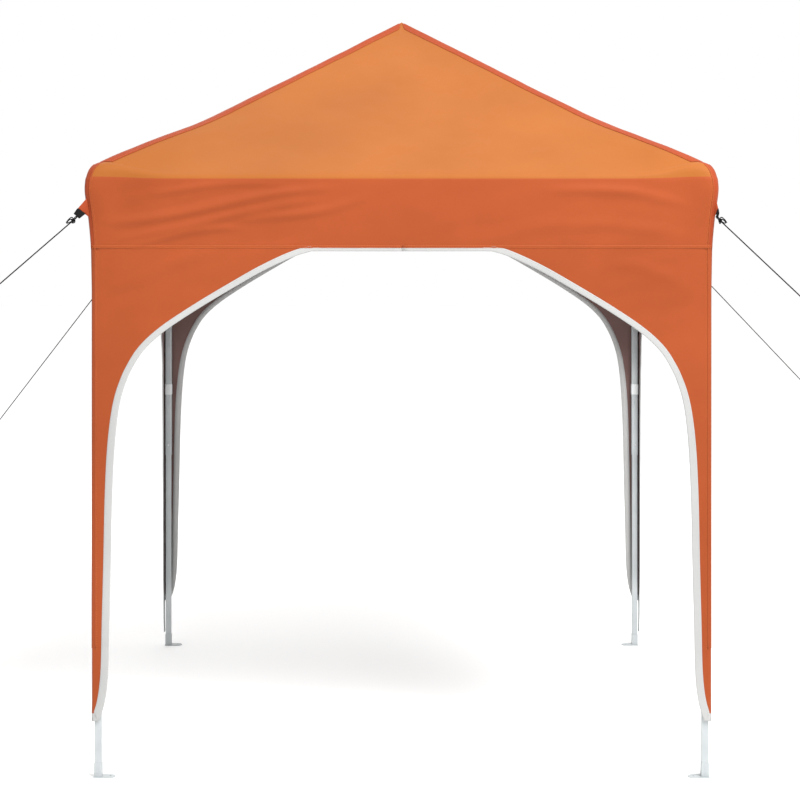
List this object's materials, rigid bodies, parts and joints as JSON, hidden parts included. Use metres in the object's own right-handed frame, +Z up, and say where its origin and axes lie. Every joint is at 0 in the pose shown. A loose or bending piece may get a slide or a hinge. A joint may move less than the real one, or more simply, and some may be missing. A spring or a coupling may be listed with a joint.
{
  "type": "pop-up canopy shelter",
  "caption": "Square pop-up canopy with a pyramid roof, arched fabric sides, telescopic legs, folding scissor truss and guy ropes.",
  "frame": {"origin": "centre of the footprint, on the ground plane under the feet", "axes": "+Z up, -Y towards the front, +X to the right as seen from the front"},
  "size_m": [3.917, 3.3438, 2.546],
  "materials": {
    "grey_frame": "satin powder coat",
    "black_plastic": "matte",
    "steel_button": "satin",
    "orange_fabric": "coated woven polyester",
    "black_cord": "braided"
  },
  "bodies": {
    "front_left_leg": {"front_left_upper_leg_and_bracket": "grey_frame", "front_left_valance_and_drape": "orange_fabric", "front_left_guy_rope": "black_cord"},
    "front_left_lower_leg": {"front_left_lower_leg_and_foot": "grey_frame"},
    "front_left_button": {"front_left_snap_button": "steel_button"},
    "front_left_slider": {"front_left_slider": "black_plastic"},
    "front_left_roof_outer": {"front_left_roof_outer_quarter": "orange_fabric"},
    "front_left_roof_peak": {"front_left_roof_peak_quarter": "orange_fabric"},
    "front_right_leg": {"front_right_upper_leg_and_bracket": "grey_frame", "front_right_valance_and_drape": "orange_fabric", "front_right_guy_rope": "black_cord"},
    "front_right_lower_leg": {"front_right_lower_leg_and_foot": "grey_frame"},
    "front_right_button": {"front_right_snap_button": "steel_button"},
    "front_right_slider": {"front_right_slider": "black_plastic"},
    "front_right_roof_outer": {"front_right_roof_outer_quarter": "orange_fabric"},
    "front_right_roof_peak": {"front_right_roof_peak_quarter": "orange_fabric"},
    "back_right_leg": {"back_right_upper_leg_and_bracket": "grey_frame", "back_right_valance_and_drape": "orange_fabric", "back_right_guy_rope": "black_cord"},
    "back_right_lower_leg": {"back_right_lower_leg_and_foot": "grey_frame"},
    "back_right_button": {"back_right_snap_button": "steel_button"},
    "back_right_slider": {"back_right_slider": "black_plastic"},
    "back_right_roof_outer": {"back_right_roof_outer_quarter": "orange_fabric"},
    "back_right_roof_peak": {"back_right_roof_peak_quarter": "orange_fabric"},
    "back_left_leg": {"back_left_upper_leg_and_bracket": "grey_frame", "back_left_valance_and_drape": "orange_fabric", "back_left_guy_rope": "black_cord"},
    "back_left_lower_leg": {"back_left_lower_leg_and_foot": "grey_frame"},
    "back_left_button": {"back_left_snap_button": "steel_button"},
    "back_left_slider": {"back_left_slider": "black_plastic"},
    "back_left_roof_outer": {"back_left_roof_outer_quarter": "orange_fabric"},
    "back_left_roof_peak": {"back_left_roof_peak_quarter": "orange_fabric"},
    "front_falling_bar_at_start": {"front_falling_bar_at_start": "grey_frame"},
    "front_rising_bar_at_start": {"front_rising_bar_at_start": "grey_frame"},
    "front_falling_bar_at_end": {"front_falling_bar_at_end": "grey_frame"},
    "front_rising_bar_at_end": {"front_rising_bar_at_end": "grey_frame"},
    "front_mid_bracket": {"front_mid_bracket": "black_plastic"},
    "front_centre_bar": {"front_centre_bar": "grey_frame"},
    "right_falling_bar_at_start": {"right_falling_bar_at_start": "grey_frame"},
    "right_rising_bar_at_start": {"right_rising_bar_at_start": "grey_frame"},
    "right_falling_bar_at_end": {"right_falling_bar_at_end": "grey_frame"},
    "right_rising_bar_at_end": {"right_rising_bar_at_end": "grey_frame"},
    "right_mid_bracket": {"right_mid_bracket": "black_plastic"},
    "right_centre_bar": {"right_centre_bar": "grey_frame"},
    "back_falling_bar_at_start": {"back_falling_bar_at_start": "grey_frame"},
    "back_rising_bar_at_start": {"back_rising_bar_at_start": "grey_frame"},
    "back_falling_bar_at_end": {"back_falling_bar_at_end": "grey_frame"},
    "back_rising_bar_at_end": {"back_rising_bar_at_end": "grey_frame"},
    "back_mid_bracket": {"back_mid_bracket": "black_plastic"},
    "back_centre_bar": {"back_centre_bar": "grey_frame"},
    "left_falling_bar_at_start": {"left_falling_bar_at_start": "grey_frame"},
    "left_rising_bar_at_start": {"left_rising_bar_at_start": "grey_frame"},
    "left_falling_bar_at_end": {"left_falling_bar_at_end": "grey_frame"},
    "left_rising_bar_at_end": {"left_rising_bar_at_end": "grey_frame"},
    "left_mid_bracket": {"left_mid_bracket": "black_plastic"},
    "left_centre_bar": {"left_centre_bar": "grey_frame"},
    "hub_and_pole": {"centre_hub": "black_plastic", "centre_pole": "grey_frame", "peak_cap": "black_plastic"}
  },
  "joints": [
    {"name": "fold", "type": "hinge", "parent": "front_left_leg", "child": "front_falling_bar_at_start", "pos_m": [-0.937, -0.987, 1.925], "axis": [0, 1, 0], "range_deg": [0, 72], "deforming": ["front_left_roof_outer_quarter", "front_left_roof_peak_quarter", "front_left_valance_and_drape", "front_right_roof_outer_quarter", "front_right_roof_peak_quarter", "front_right_valance_and_drape", "back_right_roof_outer_quarter", "back_right_roof_peak_quarter", "back_right_valance_and_drape", "back_left_roof_outer_quarter", "back_left_roof_peak_quarter", "back_left_valance_and_drape"]},
    {"name": "front_start_crossing", "type": "hinge", "parent": "front_falling_bar_at_start", "child": "front_rising_bar_at_start", "pos_m": [-0.4685, -0.987, 1.8315], "axis": [0, 1, 0], "range_deg": [-144.5, 0]},
    {"name": "front_bottom_pivot", "type": "hinge", "parent": "front_falling_bar_at_start", "child": "front_rising_bar_at_end", "pos_m": [0, -0.987, 1.738], "axis": [0, 1, 0], "range_deg": [-144.5, 0]},
    {"name": "front_end_crossing", "type": "hinge", "parent": "front_rising_bar_at_end", "child": "front_falling_bar_at_end", "pos_m": [0.4685, -0.987, 1.8315], "axis": [0, 1, 0], "range_deg": [0, 144.5]},
    {"name": "front_right_top_pivot_on_front", "type": "hinge", "parent": "front_rising_bar_at_end", "child": "front_right_leg", "pos_m": [0.937, -0.987, 1.925], "axis": [0, 1, 0], "range_deg": [0, 72.5]},
    {"name": "front_right_top_pivot_on_right", "type": "hinge", "parent": "front_right_leg", "child": "right_falling_bar_at_start", "pos_m": [0.987, -0.937, 1.925], "axis": [-1, 0, 0], "range_deg": [0, 72.5]},
    {"name": "right_start_crossing", "type": "hinge", "parent": "right_falling_bar_at_start", "child": "right_rising_bar_at_start", "pos_m": [0.987, -0.4685, 1.8315], "axis": [-1, 0, 0], "range_deg": [-144.5, 0]},
    {"name": "right_bottom_pivot", "type": "hinge", "parent": "right_falling_bar_at_start", "child": "right_rising_bar_at_end", "pos_m": [0.987, 0, 1.738], "axis": [-1, 0, 0], "range_deg": [-144.5, 0]},
    {"name": "right_end_crossing", "type": "hinge", "parent": "right_rising_bar_at_end", "child": "right_falling_bar_at_end", "pos_m": [0.987, 0.4685, 1.8315], "axis": [-1, 0, 0], "range_deg": [0, 144.5]},
    {"name": "back_right_top_pivot_on_right", "type": "hinge", "parent": "right_rising_bar_at_end", "child": "back_right_leg", "pos_m": [0.987, 0.937, 1.925], "axis": [-1, 0, 0], "range_deg": [0, 72.5]},
    {"name": "front_left_top_pivot_on_left", "type": "hinge", "parent": "front_left_leg", "child": "left_rising_bar_at_end", "pos_m": [-0.987, -0.937, 1.925], "axis": [1, 0, 0], "range_deg": [-72.5, 0]},
    {"name": "left_end_crossing", "type": "hinge", "parent": "left_rising_bar_at_end", "child": "left_falling_bar_at_end", "pos_m": [-0.987, -0.4685, 1.8315], "axis": [1, 0, 0], "range_deg": [0, 144.5]},
    {"name": "left_bottom_pivot", "type": "hinge", "parent": "left_rising_bar_at_end", "child": "left_falling_bar_at_start", "pos_m": [-0.987, 0, 1.738], "axis": [1, 0, 0], "range_deg": [0, 144.5]},
    {"name": "left_start_crossing", "type": "hinge", "parent": "left_falling_bar_at_start", "child": "left_rising_bar_at_start", "pos_m": [-0.987, 0.4685, 1.8315], "axis": [1, 0, 0], "range_deg": [-144.5, 0]},
    {"name": "back_left_top_pivot_on_left", "type": "hinge", "parent": "left_falling_bar_at_start", "child": "back_left_leg", "pos_m": [-0.987, 0.937, 1.925], "axis": [1, 0, 0], "range_deg": [-72.5, 0]},
    {"name": "back_right_top_pivot_on_back", "type": "hinge", "parent": "back_right_leg", "child": "back_falling_bar_at_start", "pos_m": [0.937, 0.987, 1.925], "axis": [0, -1, 0], "range_deg": [0, 72.5]},
    {"name": "back_start_crossing", "type": "hinge", "parent": "back_falling_bar_at_start", "child": "back_rising_bar_at_start", "pos_m": [0.4685, 0.987, 1.8315], "axis": [0, -1, 0], "range_deg": [-144.5, 0]},
    {"name": "back_left_top_pivot_on_back", "type": "hinge", "parent": "back_left_leg", "child": "back_rising_bar_at_end", "pos_m": [-0.937, 0.987, 1.925], "axis": [0, -1, 0], "range_deg": [-72.5, 0]},
    {"name": "back_end_crossing", "type": "hinge", "parent": "back_rising_bar_at_end", "child": "back_falling_bar_at_end", "pos_m": [-0.4685, 0.987, 1.8315], "axis": [0, -1, 0], "range_deg": [0, 144.5]},
    {"name": "front_left_slider_pivot", "type": "hinge", "parent": "front_rising_bar_at_start", "child": "front_left_slider", "pos_m": [-0.937, -0.987, 1.738], "axis": [0, 1, 0], "range_deg": [0, 72.5]},
    {"name": "front_bracket_pivot", "type": "hinge", "parent": "front_rising_bar_at_start", "child": "front_mid_bracket", "pos_m": [0, -0.987, 1.925], "axis": [0, 1, 0], "range_deg": [0, 72.5]},
    {"name": "front_centre_bar_pivot", "type": "hinge", "parent": "front_mid_bracket", "child": "front_centre_bar", "pos_m": [0, -0.96, 1.925], "axis": [-1, 0, 0], "range_deg": [0, 72.5]},
    {"name": "front_right_slider_pivot", "type": "hinge", "parent": "right_rising_bar_at_start", "child": "front_right_slider", "pos_m": [0.987, -0.937, 1.738], "axis": [-1, 0, 0], "range_deg": [0, 72.5]},
    {"name": "right_bracket_pivot", "type": "hinge", "parent": "right_rising_bar_at_start", "child": "right_mid_bracket", "pos_m": [0.987, 0, 1.925], "axis": [-1, 0, 0], "range_deg": [0, 72.5]},
    {"name": "right_centre_bar_pivot", "type": "hinge", "parent": "right_mid_bracket", "child": "right_centre_bar", "pos_m": [0.96, 0, 1.925], "axis": [0, -1, 0], "range_deg": [0, 72.5]},
    {"name": "back_right_slider_pivot", "type": "hinge", "parent": "back_rising_bar_at_start", "child": "back_right_slider", "pos_m": [0.937, 0.987, 1.738], "axis": [0, -1, 0], "range_deg": [0, 72.5]},
    {"name": "back_bracket_pivot", "type": "hinge", "parent": "back_rising_bar_at_start", "child": "back_mid_bracket", "pos_m": [0, 0.987, 1.925], "axis": [0, -1, 0], "range_deg": [0, 72.5]},
    {"name": "back_centre_bar_pivot", "type": "hinge", "parent": "back_mid_bracket", "child": "back_centre_bar", "pos_m": [0, 0.96, 1.925], "axis": [1, 0, 0], "range_deg": [0, 72.5]},
    {"name": "back_left_slider_pivot", "type": "hinge", "parent": "left_rising_bar_at_start", "child": "back_left_slider", "pos_m": [-0.987, 0.937, 1.738], "axis": [1, 0, 0], "range_deg": [0, 72.5]},
    {"name": "left_bracket_pivot", "type": "hinge", "parent": "left_rising_bar_at_start", "child": "left_mid_bracket", "pos_m": [-0.987, 0, 1.925], "axis": [1, 0, 0], "range_deg": [0, 72.5]},
    {"name": "left_centre_bar_pivot", "type": "hinge", "parent": "left_mid_bracket", "child": "left_centre_bar", "pos_m": [-0.96, 0, 1.925], "axis": [0, 1, 0], "range_deg": [0, 72.5]},
    {"name": "hub_pivot", "type": "hinge", "parent": "front_centre_bar", "child": "hub_and_pole", "pos_m": [0, -0.023, 1.738], "axis": [-1, 0, 0], "range_deg": [-72.5, 0]},
    {"name": "front_left_roof_corner_fold", "type": "hinge", "parent": "front_left_leg", "child": "front_left_roof_outer", "pos_m": [-1.012, -1.012, 1.986], "axis": [-0.7071, 0.7071, 0], "range_deg": [0, 102.95]},
    {"name": "front_left_roof_peak_fold", "type": "hinge", "parent": "hub_and_pole", "child": "front_left_roof_peak", "pos_m": [0, 0, 2.546], "axis": [0.7071, -0.7071, 0], "range_deg": [0, 57.97]},
    {"name": "front_right_roof_corner_fold", "type": "hinge", "parent": "front_right_leg", "child": "front_right_roof_outer", "pos_m": [1.012, -1.012, 1.986], "axis": [-0.7071, -0.7071, 0], "range_deg": [0, 102.95]},
    {"name": "front_right_roof_peak_fold", "type": "hinge", "parent": "hub_and_pole", "child": "front_right_roof_peak", "pos_m": [0, 0, 2.546], "axis": [0.7071, 0.7071, 0], "range_deg": [0, 57.97]},
    {"name": "back_right_roof_corner_fold", "type": "hinge", "parent": "back_right_leg", "child": "back_right_roof_outer", "pos_m": [1.012, 1.012, 1.986], "axis": [0.7071, -0.7071, 0], "range_deg": [0, 102.95]},
    {"name": "back_right_roof_peak_fold", "type": "hinge", "parent": "hub_and_pole", "child": "back_right_roof_peak", "pos_m": [0, 0, 2.546], "axis": [-0.7071, 0.7071, 0], "range_deg": [0, 57.97]},
    {"name": "back_left_roof_corner_fold", "type": "hinge", "parent": "back_left_leg", "child": "back_left_roof_outer", "pos_m": [-1.012, 1.012, 1.986], "axis": [0.7071, 0.7071, 0], "range_deg": [0, 102.95]},
    {"name": "back_left_roof_peak_fold", "type": "hinge", "parent": "hub_and_pole", "child": "back_left_roof_peak", "pos_m": [0, 0, 2.546], "axis": [-0.7071, -0.7071, 0], "range_deg": [0, 57.97]},
    {"name": "front_left_leg_slide", "type": "slide", "parent": "front_left_leg", "child": "front_left_lower_leg", "axis": [0, 0, 1], "range_m": [0, 0.18], "deforming": ["front_left_snap_button"]},
    {"name": "front_left_button_press", "type": "slide", "parent": "front_left_lower_leg", "child": "front_left_button", "axis": [0, -1, 0], "range_m": [0, 0.005], "stiffness_N_per_m": 800},
    {"name": "front_right_leg_slide", "type": "slide", "parent": "front_right_leg", "child": "front_right_lower_leg", "axis": [0, 0, 1], "range_m": [0, 0.18], "deforming": ["front_right_snap_button"]},
    {"name": "front_right_button_press", "type": "slide", "parent": "front_right_lower_leg", "child": "front_right_button", "axis": [0, -1, 0], "range_m": [0, 0.005], "stiffness_N_per_m": 800},
    {"name": "back_right_leg_slide", "type": "slide", "parent": "back_right_leg", "child": "back_right_lower_leg", "axis": [0, 0, 1], "range_m": [0, 0.18], "deforming": ["back_right_snap_button"]},
    {"name": "back_right_button_press", "type": "slide", "parent": "back_right_lower_leg", "child": "back_right_button", "axis": [0, 1, 0], "range_m": [0, 0.005], "stiffness_N_per_m": 800},
    {"name": "back_left_leg_slide", "type": "slide", "parent": "back_left_leg", "child": "back_left_lower_leg", "axis": [0, 0, 1], "range_m": [0, 0.18], "deforming": ["back_left_snap_button"]},
    {"name": "back_left_button_press", "type": "slide", "parent": "back_left_lower_leg", "child": "back_left_button", "axis": [0, 1, 0], "range_m": [0, 0.005], "stiffness_N_per_m": 800}
  ],
  "couplings": [
    {"joint": "front_start_crossing", "follows": "fold", "ratio": -2},
    {"joint": "front_bottom_pivot", "follows": "fold", "ratio": -2},
    {"joint": "front_end_crossing", "follows": "fold", "ratio": 2},
    {"joint": "front_right_top_pivot_on_front", "follows": "fold", "ratio": 1},
    {"joint": "front_right_top_pivot_on_right", "follows": "fold", "ratio": 1},
    {"joint": "right_start_crossing", "follows": "fold", "ratio": -2},
    {"joint": "right_bottom_pivot", "follows": "fold", "ratio": -2},
    {"joint": "right_end_crossing", "follows": "fold", "ratio": 2},
    {"joint": "back_right_top_pivot_on_right", "follows": "fold", "ratio": 1},
    {"joint": "front_left_top_pivot_on_left", "follows": "fold", "ratio": -1},
    {"joint": "left_end_crossing", "follows": "fold", "ratio": 2},
    {"joint": "left_bottom_pivot", "follows": "fold", "ratio": 2},
    {"joint": "left_start_crossing", "follows": "fold", "ratio": -2},
    {"joint": "back_left_top_pivot_on_left", "follows": "fold", "ratio": -1},
    {"joint": "back_right_top_pivot_on_back", "follows": "fold", "ratio": 1},
    {"joint": "back_start_crossing", "follows": "fold", "ratio": -2},
    {"joint": "back_left_top_pivot_on_back", "follows": "fold", "ratio": -1},
    {"joint": "back_end_crossing", "follows": "fold", "ratio": 2},
    {"joint": "front_left_slider_pivot", "follows": "fold", "ratio": 1},
    {"joint": "front_bracket_pivot", "follows": "fold", "ratio": 1},
    {"joint": "front_centre_bar_pivot", "follows": "fold", "ratio": 1},
    {"joint": "front_right_slider_pivot", "follows": "fold", "ratio": 1},
    {"joint": "right_bracket_pivot", "follows": "fold", "ratio": 1},
    {"joint": "right_centre_bar_pivot", "follows": "fold", "ratio": 1},
    {"joint": "back_right_slider_pivot", "follows": "fold", "ratio": 1},
    {"joint": "back_bracket_pivot", "follows": "fold", "ratio": 1},
    {"joint": "back_centre_bar_pivot", "follows": "fold", "ratio": 1},
    {"joint": "back_left_slider_pivot", "follows": "fold", "ratio": 1},
    {"joint": "left_bracket_pivot", "follows": "fold", "ratio": 1},
    {"joint": "left_centre_bar_pivot", "follows": "fold", "ratio": 1},
    {"joint": "hub_pivot", "follows": "fold", "ratio": -1},
    {"joint": "front_left_roof_corner_fold", "follows": "fold", "ratio": 1.4229},
    {"joint": "front_left_roof_peak_fold", "follows": "fold", "ratio": 0.79822},
    {"joint": "front_right_roof_corner_fold", "follows": "fold", "ratio": 1.4229},
    {"joint": "front_right_roof_peak_fold", "follows": "fold", "ratio": 0.79822},
    {"joint": "back_right_roof_corner_fold", "follows": "fold", "ratio": 1.4229},
    {"joint": "back_right_roof_peak_fold", "follows": "fold", "ratio": 0.79822},
    {"joint": "back_left_roof_corner_fold", "follows": "fold", "ratio": 1.4229},
    {"joint": "back_left_roof_peak_fold", "follows": "fold", "ratio": 0.79822}
  ]
}
